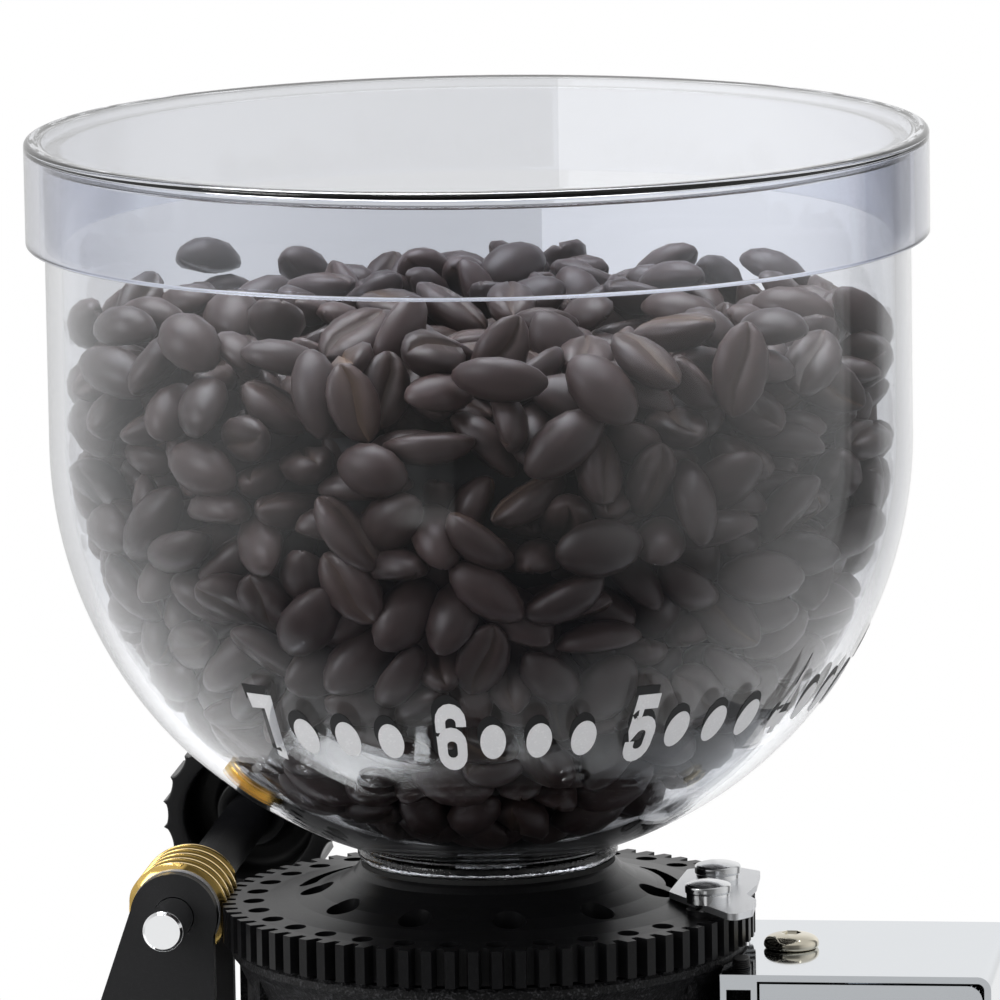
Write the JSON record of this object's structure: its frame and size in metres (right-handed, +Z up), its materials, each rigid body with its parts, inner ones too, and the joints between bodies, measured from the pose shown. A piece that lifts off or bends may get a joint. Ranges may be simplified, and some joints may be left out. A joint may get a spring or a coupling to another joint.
{
  "type": "burr coffee grinder",
  "caption": "Electric burr coffee grinder with a round clear hopper, a worm-driven toothed adjusting ring and a steel housing with a portafilter fork.",
  "frame": {"origin": "on the bench, under the axis of the burrs", "axes": "+Z up, -Y to the front where the spout is, +X to the right seen from the front"},
  "size_m": [0.156, 0.184, 0.3543],
  "materials": {
    "black_casting": "coarse black powder coat",
    "black_coated_steel": "satin black coat",
    "satin_steel": "fine satin",
    "polished_steel": "polished",
    "zinc_screws": "bright zinc",
    "nickel_screw": "warm nickel plate",
    "burr_steel": "ground",
    "cast_aluminium": "as cast",
    "copper_windings": "enamelled wire",
    "rubber": "matt",
    "black_plastic": "gloss",
    "black_ring": "satin",
    "knob_cap_metal": "spun",
    "red_plastic": "gloss",
    "pale_plastic": "matt",
    "brass": "machined",
    "clear_plastic": "clear gloss"
  },
  "bodies": {
    "housing": {"base_casting": "black_casting", "rubber_feet": "rubber", "foot_screws": "zinc_screws", "housing_shell": "satin_steel", "front_panel": "satin_steel", "rear_panel": "satin_steel", "panel_screws": "zinc_screws", "saddle_strap": "satin_steel", "saddle_front_plate": "satin_steel", "saddle_rear_plate": "satin_steel", "saddle_tube": "satin_steel", "saddle_screw": "nickel_screw", "saddle_side_screws": "zinc_screws", "stop_block": "rubber", "mill_casting": "black_casting", "mill_screws": "zinc_screws", "motor_mount": "cast_aluminium", "motor_upper_bell": "cast_aluminium", "motor_lower_bell": "cast_aluminium", "motor_core": "burr_steel", "motor_windings": "copper_windings", "motor_studs": "zinc_screws", "upper_bearing": "burr_steel", "lower_bearing": "burr_steel", "run_capacitor": "cast_aluminium", "terminal_block": "pale_plastic", "cable_inlet": "black_plastic", "worm_bracket": "black_coated_steel", "bracket_screws": "zinc_screws", "grounds_chute": "black_plastic", "portafilter_fork": "satin_steel", "fork_screws": "zinc_screws", "switch_frame": "black_plastic", "button_guide": "black_plastic"},
    "drive": {"drive_shaft": "burr_steel", "motor_rotor": "burr_steel", "cooling_fan": "black_plastic", "sweeper": "burr_steel", "cone_burr": "burr_steel", "burr_nut": "zinc_screws"},
    "adjuster": {"adjusting_ring": "black_ring", "ring_burr": "burr_steel", "ring_burr_screws": "zinc_screws", "stop_plate": "polished_steel", "stop_plate_washers": "polished_steel", "stop_plate_screws": "zinc_screws", "hopper_seal": "rubber", "hopper_bowl": "clear_plastic"},
    "lid": {"hopper_lid": "clear_plastic"},
    "worm_drive": {"worm": "brass", "worm_washers": "pale_plastic", "worm_shaft": "polished_steel", "knob_sleeve": "black_plastic", "adjusting_knob": "black_plastic", "knob_cap": "knob_cap_metal"},
    "rocker": {"rocker_switch": "black_plastic"},
    "button": {"grind_button": "red_plastic"}
  },
  "joints": [
    {"name": "drive_spin", "type": "hinge", "parent": "housing", "child": "drive", "pos_m": [0, 0, 0.1], "axis": [0, 0, 1], "continuous": true},
    {"name": "ring_turn", "type": "hinge", "parent": "housing", "child": "adjuster", "pos_m": [0, 0, 0.2345], "axis": [0, 0, 1], "range_deg": [-120, 120]},
    {"name": "lid_lift", "type": "slide", "parent": "adjuster", "child": "lid", "axis": [0, 0, 1], "range_m": [0, 0.06]},
    {"name": "worm_turn", "type": "hinge", "parent": "housing", "child": "worm_drive", "pos_m": [-0.0457, 0, 0.2385], "axis": [0, 1, 0], "range_deg": [-8640, 8640]},
    {"name": "rocker_tilt", "type": "hinge", "parent": "housing", "child": "rocker", "pos_m": [-0.05, -0.046, 0.167], "axis": [1, 0, 0], "range_deg": [0, 12]},
    {"name": "button_press", "type": "slide", "parent": "housing", "child": "button", "axis": [0, 1, 0], "range_m": [0, 0.003], "stiffness_N_per_m": 300}
  ],
  "couplings": [
    {"joint": "worm_turn", "follows": "ring_turn", "ratio": 72}
  ]
}
